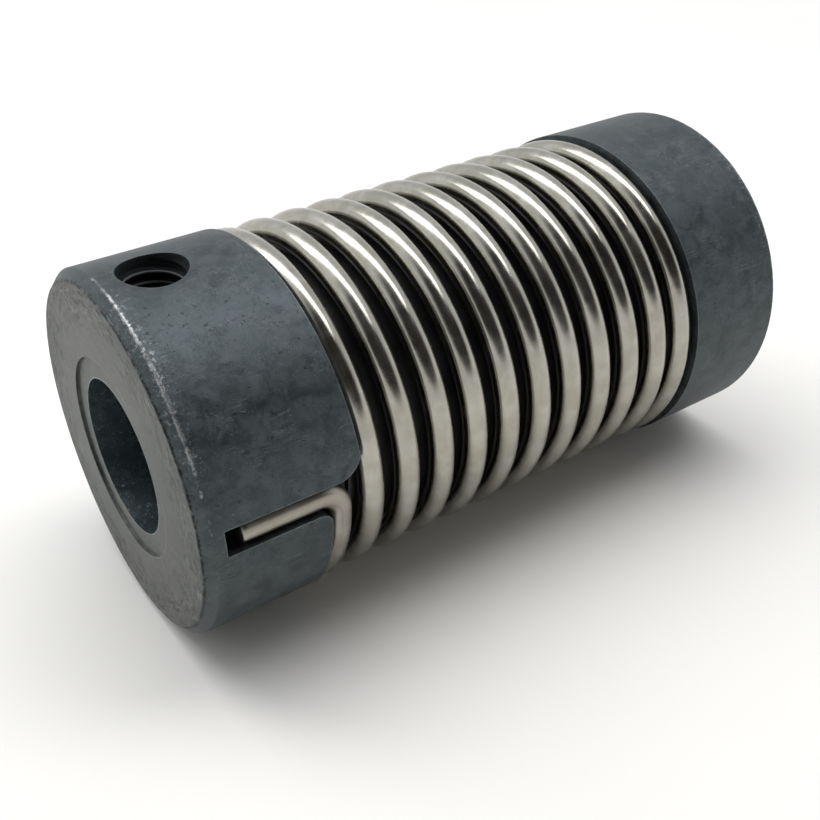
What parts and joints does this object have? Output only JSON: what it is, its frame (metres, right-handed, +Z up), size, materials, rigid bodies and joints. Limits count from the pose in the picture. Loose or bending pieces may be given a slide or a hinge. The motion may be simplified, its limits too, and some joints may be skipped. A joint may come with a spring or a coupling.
{
  "type": "shaft coupling",
  "caption": "Flexible shaft coupling for an encoder: a hooked coil spring joins bored hubs, each held on its shaft by a radial set screw.",
  "frame": {"origin": "middle of the coupling, on the shaft axis", "axes": "+X along the shaft axis from the front hub to the rear hub, +Z up, with the front hub's set screw on top; the camera looks from -Y and -X"},
  "size_m": [0.055, 0.028, 0.028],
  "materials": {
    "hub_metal": "matt dark blue-grey casting",
    "spring_wire": "bright plated wire",
    "sleeve_rubber": "smooth black",
    "screw_steel": "blackened"
  },
  "bodies": {
    "front_hub": {"front_hub": "hub_metal"},
    "spring": {"coil_spring": "spring_wire"},
    "sleeve": {"core_sleeve": "sleeve_rubber"},
    "rear_hub": {"rear_hub": "hub_metal"},
    "front_screw": {"front_set_screw": "screw_steel"},
    "rear_screw": {"rear_set_screw": "screw_steel"}
  },
  "joints": [
    {"name": "front_bend", "type": "hinge", "parent": "front_hub", "child": "spring", "pos_m": [-0.0065, 0, 0], "axis": [0, 0, 1], "range_deg": [-5, 5], "stiffness_Nm_per_rad": 0.6, "deforming": ["coil_spring", "core_sleeve"]},
    {"name": "axial_play", "type": "slide", "parent": "spring", "child": "sleeve", "axis": [1, 0, 0], "range_m": [-0.001, 0.001], "stiffness_N_per_m": 5000, "deforming": ["coil_spring", "core_sleeve"]},
    {"name": "rear_bend", "type": "hinge", "parent": "sleeve", "child": "rear_hub", "pos_m": [0.0065, 0, 0], "axis": [0, 0, 1], "range_deg": [-5, 5], "stiffness_Nm_per_rad": 0.6, "deforming": ["coil_spring", "core_sleeve"]},
    {"name": "front_screw_travel", "type": "slide", "parent": "front_hub", "child": "front_screw", "axis": [0, 0, 1], "range_m": [0, 0.0032]},
    {"name": "rear_screw_travel", "type": "slide", "parent": "rear_hub", "child": "rear_screw", "axis": [0, 0.8746, -0.4848], "range_m": [0, 0.0032]}
  ]
}
